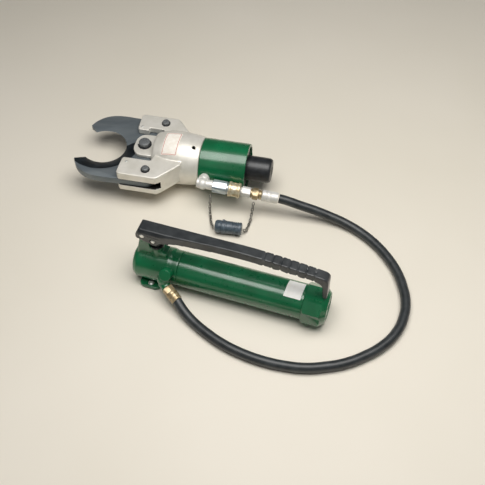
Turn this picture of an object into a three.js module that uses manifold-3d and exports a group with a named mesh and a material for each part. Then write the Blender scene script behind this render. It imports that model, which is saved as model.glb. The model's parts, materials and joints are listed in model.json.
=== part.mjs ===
// Hydraulic cutting head, hose and hand pump. Millimetres, +Z up, floor at z = 0.
import * as THREE from "three";
import { mergeVertices } from "three/addons/utils/BufferGeometryUtils.js";
import Module from "manifold-3d";

const wasm = await Module();
wasm.setup();

// Driving dimensions
const gap = 0.3; // between pieces that touch
const headOrigin = [-95, 127.3, 47]; // centre pin, on the axis of the head
const headYaw = -11.5; // degrees
const pumpOrigin = [-94, -93.7, 31]; // front face of the pump head, on the tube axis
const pumpYaw = -18.2; // degrees

const jaw = {
  thickness: 13,
  pivotX: 20.5,
  pivotY: 67,
  throatX: -80,
  throatR: 39.5,
  bevelX: -77,
  bevelR: 67,
  bossR: 14.5,
};
const ear = { front: -27, outer: 83.5, inner: 44, tall: 29, short: 12, back: 44, rear: 76 };
const slotEnd = 48; // rear wall of the slots that the jaws swing in
const barrel = { front: 20, rear: 105, frontR: 39, maxR: 47, rearR: 42.5 };
const cavity = { halfY: 26, halfZ: 20.4, rear: 61.5 }; // where the clevis slides
const clevis = { front: -18, rear: 30, halfY: 25.5, halfZ: 20 };
const pin = { r: 10, holeR: 10.25, proud: 8 };
const bolt = { r: 6.3, holeR: 6.5, proud: 6 };
const rod = { r: 16, stubR: 10, glandStart: 70, glandEnd: 100, glandR: 20 };
const cylinder = { front: 105.3, rear: 187, r: 42, bore: 34, portX: 118, portZ: 5 };
const piston = { front: 122.3, rear: 140, r: 33.7 };
const springCap = { front: 176, rear: 229, r: 22, bore: 19 };
const spring = { meanR: 16.5, wireR: 2, turns: 8.5, start: 143, end: 222 };

const hose = { r: 8, sides: 10, steps: 46 };
const facets = { large: 36, medium: 24, small: 16, tiny: 12 }; // sides of round pieces
const tubePump = { r: 28.8, bore: 26, front: 78.3, rear: 284 };
const capPump = { flat: 31, rear: 322, faceR: 25 };
const lever = { pivotX: 22, pivotZ: 78, plungerX: 39.5, plungerZ: 70, cheek: 13.5 };

// The hose lies on the floor from the coupler to the pump.
const hoseRoute = [
  [140.6, 24.1, 40], [153, 21.3, 38], [177, 16.3, 31], [203, 10.8, 24], [229, 3.3, 17],
  [255, -7.7, 11.5], [279, -24.7, 8.8], [302, -49.7, 8.2], [320, -78.7, 8.2], [332, -107.7, 8.2],
  [338, -137.7, 8.2], [339, -166.7, 8.2], [332, -196.7, 8.2], [317, -224.7, 8.2], [293, -248.7, 8.2],
  [263, -266.7, 8.2], [233, -278.7, 8.2], [202, -284.7, 8.2], [172, -286.7, 8.2], [140, -282.7, 8.2],
  [109, -274.7, 8.2], [79, -262.7, 8.2], [50, -246.7, 8.2], [23, -226.2, 8.2], [-1, -203.7, 9.5],
  [-15, -188.2, 14], [-25.5, -173.7, 20],
];
const chainRadius = 2.6;
const leftChainRoute = [
  [23, 34.3, 37], [22, 29.3, 28], [21, 26.3, 16], [21, 22.3, 6.6],
  [22, 15.3, 3], [23, 5.3, 3], [25, -5.7, 4], [27.4, -11.7, 8.5],
];
const rightChainRoute = [
  [97, 20.3, 33], [95, 14.3, 22], [93, 9.3, 10], [91, 3.3, 3.6],
  [89, -3.7, 3], [86, -11.7, 3], [84, -18.7, 4.4], [79.6, -21.7, 10],
];

// Materials
const paint = (color, roughness, metalness = 0) =>
  new THREE.MeshStandardMaterial({ color, roughness, metalness });
const silverPaint = paint(0xb9b5aa, 0.45, 0.6);
const greenEnamel = paint(0x08734a, 0.25);
const blackSteel = paint(0x1d1f20, 0.5, 0.5);
const bladeSteel = paint(0x4a5560, 0.35, 0.9);
const brightSteel = paint(0xc4c6c4, 0.3, 1);
const pinSteel = paint(0x5c5f60, 0.4, 0.9);
const brass = paint(0xb59a5e, 0.35, 1);
const rubber = paint(0x1a1a1a, 0.7);
const springSteel = paint(0x808488, 0.4, 1);
const labelFilm = paint(0xe9dfcc, 0.6);
const blackHandle = paint(0x202224, 0.4, 0.1);

// Solids -----------------------------------------------------------
function solid(geometry) {
  const bare = geometry.index ? geometry.toNonIndexed() : geometry.clone();
  bare.deleteAttribute("normal");
  bare.deleteAttribute("uv");
  const merged = mergeVertices(bare, 1e-4);
  const vertProperties = merged.getAttribute("position").array;
  const triVerts = new Uint32Array(merged.index.array);
  const made = new wasm.Manifold(new wasm.Mesh({ numProp: 3, vertProperties, triVerts }));
  if (made.volume() > 0) return made;
  for (let i = 0; i < triVerts.length; i += 3) {
    [triVerts[i], triVerts[i + 1]] = [triVerts[i + 1], triVerts[i]];
  }
  return new wasm.Manifold(new wasm.Mesh({ numProp: 3, vertProperties, triVerts }));
}

function join(...solids) {
  return solids.reduce((a, b) => a.add(b));
}

function place(geometry, x, y, z) {
  return geometry.translate(x, y, z);
}

function box(x0, x1, y0, y1, z0, z1) {
  const shape = new THREE.BoxGeometry(x1 - x0, y1 - y0, z1 - z0);
  return solid(place(shape, (x0 + x1) / 2, (y0 + y1) / 2, (z0 + z1) / 2));
}

// A shape turned about X, from [x, radius] points.
function turnedX(points, sides = facets.medium, x = 0, y = 0, z = 0) {
  const outline = points.map(([along, radius]) => new THREE.Vector2(radius, along));
  return solid(place(new THREE.LatheGeometry(outline, sides).rotateZ(-Math.PI / 2), x, y, z));
}

// A shape turned about Z, from [z, radius] points.
function turnedZ(points, sides = facets.small, x = 0, y = 0) {
  const outline = points.map(([along, radius]) => new THREE.Vector2(radius, along));
  return solid(place(new THREE.LatheGeometry(outline, sides).rotateX(Math.PI / 2), x, y, 0));
}

// A shape turned about Y, from [y, radius] points.
function turnedY(points, sides = facets.small, x = 0, z = 0) {
  const outline = points.map(([along, radius]) => new THREE.Vector2(radius, along));
  return solid(place(new THREE.LatheGeometry(outline, sides), x, 0, z));
}

const rodOutline = (from, to, r) => [[from, 0], [from, r], [to, r], [to, 0]];
const rodX = (x0, x1, r, sides = facets.medium, y = 0, z = 0) =>
  turnedX(rodOutline(x0, x1, r), sides, 0, y, z);
const rodY = (y0, y1, r, sides = facets.small, x = 0, z = 0) => turnedY(rodOutline(y0, y1, r), sides, x, z);
const rodZ = (z0, z1, r, sides = facets.small, x = 0, y = 0) => turnedZ(rodOutline(z0, z1, r), sides, x, y);
const ringX = (x0, x1, inner, outer, sides = facets.medium) =>
  turnedX([[x0, inner], [x0, outer], [x1, outer], [x1, inner], [x0, inner]], sides);

// A prism on a shape, from z = 0 up; points closer than a hair are dropped.
function prism(shape, depth, curveSegments) {
  const points = shape.getPoints(curveSegments);
  const kept = points.filter((p, i) => p.distanceTo(points[(i + 1) % points.length]) > 0.01);
  return new THREE.ExtrudeGeometry(new THREE.Shape(kept), { depth, bevelEnabled: false });
}

function extrudedZ(shape, z0, z1, curveSegments = 10) {
  return solid(place(prism(shape, z1 - z0, curveSegments), 0, 0, z0));
}

// A side outline in X and Z, extruded across Y.
function extrudedY(shape, y0, y1, curveSegments = 5) {
  return solid(place(prism(shape, y1 - y0, curveSegments).rotateX(Math.PI / 2), 0, y1, 0));
}

function outlineOf(points) {
  return new THREE.Shape(points.map(([x, y]) => new THREE.Vector2(x, y)));
}

function circleShape(radius, sides) {
  const corner = (i) => {
    const turn = (2 * Math.PI * i) / sides;
    return new THREE.Vector2(radius * Math.cos(turn), radius * Math.sin(turn));
  };
  return new THREE.Shape(Array.from({ length: sides }, (_, i) => corner(i)));
}

function tubeAlong(points, radius, sides, steps) {
  const path = new THREE.CatmullRomCurve3(points.map((p) => new THREE.Vector3(...p)));
  const options = { extrudePath: path, steps, bevelEnabled: false };
  return new THREE.ExtrudeGeometry(circleShape(radius, sides), options);
}

const group = new THREE.Group();
const head = new THREE.Group();
head.position.set(...headOrigin);
head.rotation.z = THREE.MathUtils.degToRad(headYaw);
const pump = new THREE.Group();
pump.position.set(...pumpOrigin);
pump.rotation.z = THREE.MathUtils.degToRad(pumpYaw);
group.add(head, pump);

function add(parent, name, shape, material) {
  let geometry = shape;
  if (!shape.isBufferGeometry) {
    const mesh = shape.getMesh();
    geometry = new THREE.BufferGeometry();
    const corners = new THREE.BufferAttribute(new Float32Array(mesh.vertProperties), 3);
    geometry.setAttribute("position", corners);
    geometry.setIndex(new THREE.BufferAttribute(new Uint32Array(mesh.triVerts), 1));
    geometry.computeVertexNormals();
  }
  const node = new THREE.Mesh(geometry, material);
  node.name = name;
  parent.add(node);
  return node;
}

// Cutting head -----------------------------------------------------
function yokeCasting() {
  const { front, outer, inner, tall, short, back, rear } = ear;
  const plan = (side) =>
    outlineOf([
      [front + 2, side * inner],
      [front, side * (inner + 4)],
      [front - 1, side * (outer - 3)],
      [front + 3, side * outer],
      [back - 4, side * outer],
      [back + 2, side * (outer - 4)],
      [rear, side * inner],
      [rear, side * 20],
      [30, side * 20],
      [23, side * inner],
    ]);
  const barrelSolid = turnedX([
    [barrel.front, 0],
    [barrel.front, barrel.frontR],
    [34, 43],
    [48, 46],
    [60, barrel.maxR],
    [70, barrel.maxR],
    [90, 45],
    [barrel.rear, barrel.rearR],
    [barrel.rear, 0],
  ], facets.large);
  const nearEar = extrudedZ(plan(-1), -short, tall);
  const farEar = extrudedZ(plan(1), -tall, short);
  const slack = gap / 2;
  const nearSlot = box(-100, slotEnd, -90, 0, -slack, jaw.thickness + 3 * slack);
  const farSlot = box(-100, slotEnd, 0, 90, -jaw.thickness - 3 * slack, slack);
  const clevisSpace = box(0, cavity.rear, -cavity.halfY, cavity.halfY, -cavity.halfZ, cavity.halfZ);
  const pinRoom = pin.r + gap * 3;
  const headTunnel = box(0, 45, -13.8, 13.8, cavity.halfZ - 1, clevis.halfZ + pin.proud + gap * 3);
  const tailTunnel = box(0, 42, -pinRoom, pinRoom, -clevis.halfZ - 3 - gap * 3, 1 - cavity.halfZ);
  const rodBore = rodX(cavity.rear - 1, rod.glandStart + 1, rod.r + 1);
  const glandBore = rodX(rod.glandStart, barrel.rear + 1, rod.glandR + gap);
  const farNotch = box(-6, 22, inner - 1, 52, -1, short + 1);
  const nearNotch = box(-6, 22, -52, 1 - inner, -short - 1, 1);
  const boltHoleR = bolt.holeR + gap / 2;
  const boltHole = (side) => rodZ(-60, 60, boltHoleR, facets.small, jaw.pivotX, side * jaw.pivotY);
  const eyeHole = rodZ(32, 60, 3.6, facets.tiny, 93, -12);
  const dowelHole = (x, y, z0, z1) => rodZ(z0, z1, 2.5, facets.tiny, x, y);
  return join(barrelSolid, nearEar, farEar)
    .subtract(join(nearSlot, farSlot, clevisSpace, headTunnel, tailTunnel))
    .subtract(join(rodBore, glandBore))
    .subtract(join(farNotch, nearNotch, boltHole(1), boltHole(-1)))
    .subtract(eyeHole)
    .subtract(dowelHole(-17, -54, tall - 8, tall + 1))
    .subtract(dowelHole(-20, 52, short - 8, short + 1));
}

// The far jaw lies under the middle plane, with its bevel underneath.
// The near jaw is the same piece turned over.
function jawShape() {
  const { pivotX, pivotY, throatX, throatR, bossR } = jaw;
  const shape = new THREE.Shape();
  shape.moveTo(-117, 47.5);
  shape.absarc(throatX, 0, throatR, THREE.MathUtils.degToRad(124.5), THREE.MathUtils.degToRad(-12), true);
  shape.lineTo(-28, -12.5);
  shape.absarc(0, 0, bossR, THREE.MathUtils.degToRad(-114), THREE.MathUtils.degToRad(0), false);
  shape.lineTo(15.6, 24.5);
  shape.lineTo(30, 50);
  shape.absarc(pivotX, pivotY, 13.5, THREE.MathUtils.degToRad(-40), THREE.MathUtils.degToRad(90), false);
  shape.lineTo(-20, 81.5);
  shape.bezierCurveTo(-46, 83.3, -66, 84.6, -82, 80.6);
  shape.bezierCurveTo(-98, 76, -110, 65.5, -117, 47.5);
  return shape;
}

function farJaw() {
  const t = jaw.thickness;
  const body = extrudedZ(jawShape(), -t - gap / 2, -gap / 2, 9);
  const under = -t - gap / 2 - 1;
  const bevelOutline = [[under, 0], [under, jaw.bevelR + 1.8], [-gap / 2, jaw.throatR + 0.01], [-gap / 2, 0]];
  const bevel = turnedZ(bevelOutline, 48, jaw.bevelX, 0);
  const bevelPart = bevel.subtract(box(-10, 60, -90, 90, -30, 5));
  const pivotHole = rodZ(-30, 30, bolt.holeR, facets.small, jaw.pivotX, jaw.pivotY);
  const slotAngle = Math.atan2(jaw.pivotY, jaw.pivotX);
  const pinSlot = slotAlong(pin.holeR + 0.15, 4.2, slotAngle);
  return body.subtract(join(bevelPart, pivotHole, pinSlot));
}

// The slot that lets the centre pin draw nearer to the pivot as the jaw turns.
function slotAlong(radius, travel, angle) {
  const shape = new THREE.Shape();
  shape.absarc(-0.5, 0, radius, Math.PI / 2, (3 * Math.PI) / 2, false);
  shape.absarc(travel - 0.5, 0, radius, -Math.PI / 2, Math.PI / 2, false);
  return solid(prism(shape, 60, 6).translate(0, 0, -30).rotateZ(angle));
}

function ramClevis() {
  const { front, rear, halfY, halfZ } = clevis;
  const plan = outlineOf([
    [front, -halfY + 7],
    [front + 2, -halfY + 2],
    [front + 7, -halfY],
    [rear, -halfY],
    [rear, halfY],
    [front + 7, halfY],
    [front + 2, halfY - 2],
    [front, halfY - 7],
  ]);
  const slot = box(front - 1, 16.5, -40, 40, -jaw.thickness - 2 * gap, jaw.thickness + 2 * gap);
  const pinHole = rodZ(-40, 40, pin.holeR);
  const rodHole = rodX(10, rear + 1, rod.stubR + gap, facets.small);
  return extrudedZ(plan, -halfZ, halfZ).subtract(join(slot, pinHole, rodHole));
}

function buildHead() {
  add(head, "yoke_casting", yokeCasting(), silverPaint);
  const jawSolid = farJaw();
  const jawMesh = add(head, "far_jaw", jawSolid, bladeSteel);
  add(head, "near_jaw", jawMesh.geometry.clone().rotateX(Math.PI), bladeSteel);
  add(head, "ram_clevis", ramClevis(), silverPaint);

  const pinTop = clevis.halfZ + pin.proud;
  add(head, "centre_pin", turnedZ([
    [-clevis.halfZ - 3, 0],
    [-clevis.halfZ - 3, pin.r],
    [pinTop - 1.5, pin.r],
    [pinTop, pin.r - 1.5],
    [pinTop, 0],
  ]), pinSteel);
  const clip = (z0, z1, inner, outer, x, y) =>
    turnedZ([[z0, inner], [z0, outer], [z1, outer], [z1, inner], [z0, inner]], facets.small, x, y);
  const pinClip = clip(clevis.halfZ + gap, clevis.halfZ + 2.3, pin.r + 0.3, pin.r + 2.5, 0, 0);
  add(head, "centre_pin_clip", pinClip, blackSteel);

  const bolts = [["near", -1, -ear.short, ear.tall], ["far", 1, -ear.tall, ear.short]];
  for (const [name, side, low, high] of bolts) {
    const y = side * jaw.pivotY;
    const boltClip = clip(high + gap, high + 2, bolt.r + 0.3, bolt.r + 1.7, jaw.pivotX, y);
    add(head, `${name}_pivot_bolt`, turnedZ([
      [low + 0.5, 0],
      [low + 0.5, bolt.r],
      [high + bolt.proud - 1.5, bolt.r],
      [high + bolt.proud, bolt.r - 1.5],
      [high + bolt.proud, 0],
    ], facets.small, jaw.pivotX, y), pinSteel);
    add(head, `${name}_bolt_clip`, boltClip, blackSteel);
  }
  const dowel = (top, x, y) => rodZ(top - 7.5, top + 0.6, 2.2, facets.tiny, x, y);
  add(head, "near_ear_dowel", dowel(ear.tall, -17, -54), brightSteel);
  add(head, "far_ear_dowel", dowel(ear.short, -20, 52), brightSteel);

  add(head, "rod_gland", ringX(rod.glandStart + gap, rod.glandEnd, rod.r + 0.2, rod.glandR), brass);
  add(head, "ram_rod", turnedX([
    [19, 0],
    [19, rod.stubR],
    [clevis.rear + gap, rod.stubR],
    [clevis.rear + gap, rod.r],
    [piston.front - gap, rod.r],
    [piston.front - gap, 9],
    [152, 9],
    [152, 0],
  ]), brightSteel);
  add(head, "piston", turnedX([
    [piston.front, 9.3],
    [piston.front, piston.r],
    [129, piston.r],
    [129, 30],
    [134, 30],
    [134, piston.r],
    [piston.rear, piston.r],
    [piston.rear, 9.3],
    [piston.front, 9.3],
  ], facets.large), brightSteel);
  add(head, "piston_seal", ringX(129.3, 133.7, 30.3, 33.85, facets.large), rubber);
  const nutBlank = rodX(piston.rear + gap, 150, 13.5, 6);
  add(head, "piston_nut", nutBlank.subtract(rodX(piston.rear, 151, 9.3, facets.small)), brightSteel);

  const cylinderTube = ringX(cylinder.front, cylinder.rear, cylinder.bore, cylinder.r, facets.large);
  const portHole = rodY(-60, -20, 5, facets.tiny, cylinder.portX, cylinder.portZ);
  add(head, "cylinder_tube", cylinderTube.subtract(portHole), greenEnamel);
  const endRing = ringX(178, 184, springCap.r + gap, cylinder.bore - gap, facets.large);
  add(head, "cylinder_end_ring", endRing, blackSteel);
  add(head, "spring_cap", turnedX([
    [springCap.front, springCap.bore],
    [springCap.front, springCap.r],
    [springCap.rear - 3, springCap.r],
    [springCap.rear, springCap.r - 3],
    [springCap.rear, 0],
    [springCap.rear - 4, 0],
    [springCap.rear - 4, springCap.bore],
    [springCap.front, springCap.bore],
  ]), blackSteel);
  add(head, "return_spring", coil(), springSteel);
  const labelBand = ringX(36, 70, 46.3, 47.8, facets.large);
  const labelOutline = box(37, 69, -33, 17, 20, 70);
  const barrelSkin = turnedX([
    [20, 0], [20, barrel.frontR + gap], [34, 43 + gap], [48, 46 + gap], [60, barrel.maxR + gap],
    [70, barrel.maxR + gap], [90, 45 + gap], [90, 0],
  ], facets.large);
  add(head, "barrel_label", labelBand.intersect(labelOutline).subtract(barrelSkin), labelFilm);
}

function coil() {
  const stepsPerTurn = 8;
  const points = [];
  for (let i = 0; i <= spring.turns * stepsPerTurn; i++) {
    const turn = (2 * Math.PI * i) / stepsPerTurn;
    const x = spring.start + ((spring.end - spring.start) * i) / (spring.turns * stepsPerTurn);
    points.push([x, spring.meanR * Math.cos(turn), spring.meanR * Math.sin(turn)]);
  }
  return tubeAlong(points, spring.wireR, 5, spring.turns * stepsPerTurn);
}

// Fittings from the cylinder port to the hose ----------------------
const fittings = new THREE.Group();
fittings.position.set(cylinder.portX, -57, cylinder.portZ);
fittings.rotation.set(0, THREE.MathUtils.degToRad(5.15), THREE.MathUtils.degToRad(1.1), "ZYX");
head.add(fittings);

function buildFittings() {
  const stub = rodY(-57, -36, 4.6, facets.tiny, cylinder.portX, cylinder.portZ);
  const neck = rodY(-57, -40, 8.5, facets.small, cylinder.portX, cylinder.portZ);
  const corner = solid(place(new THREE.SphereGeometry(10.5, 16, 10), cylinder.portX, -57, cylinder.portZ));
  const outlet = solid(
    new THREE.CylinderGeometry(8.5, 8.5, 18, facets.small)
      .rotateZ(-Math.PI / 2)
      .translate(9, 0, 0)
      .applyMatrix4(fittingsMatrix()),
  );
  const cylinderSkin = rodX(100, 190, cylinder.r + gap, facets.large);
  add(head, "port_elbow", join(neck, corner, outlet).subtract(cylinderSkin).add(stub), brightSteel);

  add(fittings, "coupler_body", turnedX([
    [18.3, 5],
    [18.3, 10.5],
    [20, 11.5],
    [42, 11.5],
    [43.5, 9.6],
    [62, 9.6],
    [62, 7.6],
    [50, 7.6],
    [50, 5],
    [18.3, 5],
  ], facets.small), brightSteel);
  add(fittings, "coupler_collar", ringX(45.5, 66.5, 9.9, 13.5, 20), brass);
  add(fittings, "coupler_nipple", turnedX([
    [51, 3.5], [51, 7.2], [68.5, 7.2], [68.5, 9.5], [84, 9.5], [84, 3.5], [51, 3.5],
  ], facets.small), brightSteel);
  add(fittings, "hose_adapter", turnedX([
    [84.3, 3.5], [84.3, 8], [88, 10.5], [98, 10.5], [100, 8.2], [104, 8.2], [104, 3.5], [84.3, 3.5],
  ], facets.small), brass);
  add(fittings, "head_ferrule", turnedX([
    [104.3, 3.5], [104.3, 9.5], [106, 10.2], [130, 9.8], [132.6, 9.2], [132.6, 3.5], [104.3, 3.5],
  ], 20), brightSteel);
  add(group, "hose", tubeAlong(hoseRoute, hose.r, hose.sides, hose.steps), rubber);
  add(group, "left_chain", tubeAlong(leftChainRoute, chainRadius, 8, 14), brightSteel);
  add(group, "right_chain", tubeAlong(rightChainRoute, chainRadius, 8, 14), brightSteel);
}

function fittingsMatrix() {
  fittings.updateMatrix();
  return fittings.matrix;
}

// The two dust caps are screwed into one another and lie on the floor.
function buildDustCaps() {
  const caps = new THREE.Group();
  caps.position.set(31, -13.7, 12.2);
  caps.rotation.z = THREE.MathUtils.degToRad(-9.5);
  group.add(caps);
  const lug = rodZ(9, 15.5, 2.4, 12, 15, 2);
  add(caps, "dust_cap", turnedX([
    [0, 0], [0, 9.5], [3, 11.2], [10, 11.2], [12, 12], [18, 12], [20, 11.2], [20, 8.6], [5, 8.6], [5, 0],
  ], 20).add(lug), bladeSteel);
  add(caps, "dust_plug", turnedX([
    [6, 0], [6, 8.2], [20.3, 8.2], [20.3, 11], [44, 11], [46, 10], [46, 0],
  ], 20), bladeSteel);
}

// Hand pump --------------------------------------------------------
function pumpHead() {
  const body = turnedX([
    [0, 0], [0, 20], [3, 26], [9, 30], [62, 30], [66, tubePump.r],
    [78, tubePump.r], [78, 25.5], [92, 25.5], [92, 0],
  ], facets.large);
  const towerSide = outlineOf([
    [7, 10], [9, 40], [13.3, 60], [13.3, 78], [30.7, 78], [30.7, 44], [58, 40], [62, 10],
  ]);
  const towerTop = rodY(-9.8, 9.8, 8.7, 20, lever.pivotX, lever.pivotZ);
  const tower = extrudedY(towerSide, -9.8, 9.8).add(towerTop);
  const glandBoss = rodZ(20, 47, 11.3, 20, lever.plungerX, 0);
  const pinBore = rodY(-20, 20, 4.15, facets.small, lever.pivotX, lever.pivotZ);
  const plungerBore = rodZ(-12, 60, 6.6, facets.small, lever.plungerX, 0);
  const glandBore = rodZ(38, 60, 9.3, facets.small, lever.plungerX, 0);
  const glandSeat = rodZ(47, 54, 11.5, 20, lever.plungerX, 0);
  const valveBore = rodY(12, 40, 5.3, facets.small, 30, 4);
  const outletBore = rodY(-40, 0, 4, facets.tiny, 60, 2);
  const suctionBore = rodX(50, 93, 4.4, facets.tiny, 0, -16);
  return join(body, tower, glandBoss)
    .subtract(join(pinBore, plungerBore, glandBore, glandSeat, valveBore))
    .subtract(join(outletBore, suctionBore))
    .subtract(box(-10, 100, -40, 40, -60, -24.7));
}

function footBracket() {
  const plate = outlineOf([
    [14, -25], [22, -34], [42, -34], [50, -25], [50, 25], [42, 34], [22, 34], [14, 25],
  ]);
  const hole = (y) => rodZ(-40, 0, 3.3, facets.tiny, 33, y);
  return extrudedZ(plate, -31, -25).subtract(hole(-26)).subtract(hole(26));
}

function reservoirCap() {
  const octagon = new THREE.CylinderGeometry(1, 1, 1, 8, 1).rotateY(Math.PI / 8).rotateZ(-Math.PI / 2);
  const apothem = Math.cos(Math.PI / 8);
  const length = capPump.rear - tubePump.rear - gap;
  octagon.scale(length, capPump.flat / apothem, capPump.flat / apothem);
  octagon.translate(tubePump.rear + gap + length / 2, 0, 0);
  const start = tubePump.rear + gap;
  const turnedLimit = turnedX([
    [start, 0], [start, 31], [start + 3, 34], [313, 34], [capPump.rear - 2, capPump.faceR],
    [capPump.rear, capPump.faceR - 2], [capPump.rear, 0],
  ], facets.large);
  const spigot = rodX(start - 14, start + 1, 25.5, facets.large);
  const thread = rodX(start - 20, capPump.rear + 1, 5.3, facets.small);
  return solid(octagon).intersect(turnedLimit).add(spigot).subtract(thread);
}

function handleShape() {
  const shape = new THREE.Shape();
  shape.moveTo(11, 77);
  shape.lineTo(23, 90);
  shape.lineTo(60, 90);
  shape.bezierCurveTo(110, 91, 150, 93, 178, 93);
  shape.bezierCurveTo(225, 92, 260, 88, 308, 81.5);
  shape.quadraticCurveTo(317, 80, 317.5, 73);
  shape.lineTo(318, 34);
  shape.lineTo(311, 34);
  shape.lineTo(309, 56);
  shape.bezierCurveTo(308, 66, 303, 68.5, 294, 70);
  const waves = 4;
  for (let i = 1; i <= waves; i++) {
    const x = 294 - 22 * i;
    const z = 70 + 1.6 * i;
    shape.bezierCurveTo(x + 16, z + 1.6, x + 6, z - 1.6, x, z);
  }
  shape.bezierCurveTo(178, 78, 130, 76, 80, 74);
  shape.lineTo(58, 71);
  shape.lineTo(50, 64);
  shape.lineTo(45, 60);
  shape.lineTo(34, 60);
  shape.lineTo(26, 65);
  shape.lineTo(12, 70);
  return shape;
}

function handleSolid() {
  const wide = extrudedY(handleShape(), -lever.cheek, lever.cheek);
  const planOutline = outlineOf([
    [0, -20], [50, -20], [50, -13.5], [95, -10], [140, -8.6], [330, -8.6],
    [330, 8.6], [140, 8.6], [95, 10], [50, 13.5], [50, 20], [0, 20],
  ]);
  const channel = box(0, 53, -10.1, 10.1, 50, lever.pivotZ + 9.3);
  const pivotHole = rodY(-20, 20, 4.15, facets.small, lever.pivotX, lever.pivotZ);
  const slotAngle = Math.atan2(lever.plungerZ - lever.pivotZ, lever.plungerX - lever.pivotX);
  const pinSlot = new THREE.Shape();
  pinSlot.absarc(16.9, 0, 3.95, Math.PI / 2, (3 * Math.PI) / 2, false);
  pinSlot.absarc(19.5, 0, 3.95, -Math.PI / 2, Math.PI / 2, false);
  const slot = solid(
    prism(pinSlot, 60, 5)
      .rotateX(Math.PI / 2)
      .translate(0, 30, 0)
      .rotateY(-slotAngle)
      .translate(lever.pivotX, 0, lever.pivotZ),
  );
  return wide.intersect(extrudedZ(planOutline, 20, 110)).subtract(join(channel, pivotHole, slot));
}

function buildPump() {
  add(pump, "pump_head", pumpHead(), greenEnamel);
  add(pump, "foot_bracket", footBracket(), greenEnamel);
  for (const [name, y] of [["near", -26], ["far", 26]]) {
    const screw = [[-30.5, 0], [-30.5, 3], [-24.7, 3], [-24.7, 5], [-22.7, 4.4], [-22.7, 0]];
    add(pump, `${name}_foot_screw`, turnedZ(screw, facets.tiny, 33, y), brightSteel);
  }
  const reservoir = ringX(tubePump.front, tubePump.rear, tubePump.bore, tubePump.r, facets.large);
  add(pump, "reservoir_tube", reservoir, greenEnamel);
  add(pump, "reservoir_cap", reservoirCap(), greenEnamel);
  add(pump, "filler_plug", rodX(300, 321, 5, facets.tiny), blackSteel);
  add(pump, "suction_tube", turnedX([
    [70, 2.5], [70, 4], [268, 4], [268, 2.5], [70, 2.5],
  ], facets.tiny, 0, 0, -16), brightSteel);
  add(pump, "suction_strainer", turnedX([
    [248, 4.3], [248, 7], [269, 7], [269, 0], [268.3, 0], [268.3, 4.3], [248, 4.3],
  ], facets.tiny, 0, 0, -16), brass);

  const plunger = turnedZ([[-6, 0], [-6, 6.2], [78, 6.2], [78, 0]], facets.small, lever.plungerX, 0);
  const plungerPinHole = rodY(-20, 20, 3.8, facets.small, lever.plungerX, lever.plungerZ);
  add(pump, "plunger", plunger.subtract(plungerPinHole), brightSteel);
  add(pump, "plunger_gland", turnedZ([
    [38.3, 6.5], [38.3, 9], [47.3, 9], [47.3, 11], [50.5, 11], [50.5, 6.5], [38.3, 6.5],
  ], facets.small, lever.plungerX, 0), blackSteel);
  const crossPin = (r, x, z) => rodY(-lever.cheek - 0.8, lever.cheek + 0.8, r, facets.small, x, z);
  add(pump, "plunger_pin", crossPin(3.5, lever.plungerX, lever.plungerZ), brightSteel);
  add(pump, "handle_pin", crossPin(4, lever.pivotX, lever.pivotZ), brightSteel);
  add(pump, "handle", handleSolid(), blackHandle);

  const knob = turnedY([[31, 0], [31, 10], [41, 10], [42.5, 8.5], [42.5, 0]], facets.tiny, 30, 4);
  add(pump, "release_valve", knob.add(rodY(13, 32, 5, facets.small, 30, 4)), blackSteel);

  const headSkin = rodX(-5, 100, 30 + gap, facets.large);
  const boss = solid(
    new THREE.CylinderGeometry(10, 10.6, 24, 20)
      .translate(0, 32, 0)
      .rotateX(THREE.MathUtils.degToRad(148.5))
      .translate(64, 0, 0),
  );
  const ball = solid(new THREE.SphereGeometry(11, 16, 10).translate(60, -33, 7));
  const outlet = solid(fittingGeometry(8.2, 0, 12));
  add(pump, "outlet_elbow", join(boss, ball, outlet).subtract(headSkin), greenEnamel);
  add(pump, "pump_hose_nut", solid(fittingGeometry(9.2, 12.3, 22, 6)), brass);
  add(pump, "pump_ferrule", solid(fittingGeometry(9.6, 22.3, 38.6)), brightSteel);

  const labelOutline = box(252, 281, -18, 16, 15, 40);
  const film = ringX(252, 281, tubePump.r + gap, tubePump.r + 1.1, facets.large);
  add(pump, "tube_label", film.intersect(labelOutline), labelFilm);
}

// A piece of the slanting hose fitting at the pump, from one distance along it to another.
function fittingGeometry(radius, from, to, sides = facets.small) {
  const start = new THREE.Vector3(58, -35.5, 1.5);
  const along = new THREE.Vector3(32, -18.8, -12.5).normalize();
  const turn = new THREE.Quaternion().setFromUnitVectors(new THREE.Vector3(0, 1, 0), along);
  const geometry = new THREE.CylinderGeometry(radius, radius, to - from, sides);
  geometry.translate(0, (from + to) / 2, 0);
  return geometry.applyQuaternion(turn).translate(start.x, start.y, start.z);
}

buildHead();
buildFittings();
buildDustCaps();
buildPump();

export default group;
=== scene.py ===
import json
import math
import bpy
from mathutils import Matrix, Vector


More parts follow.
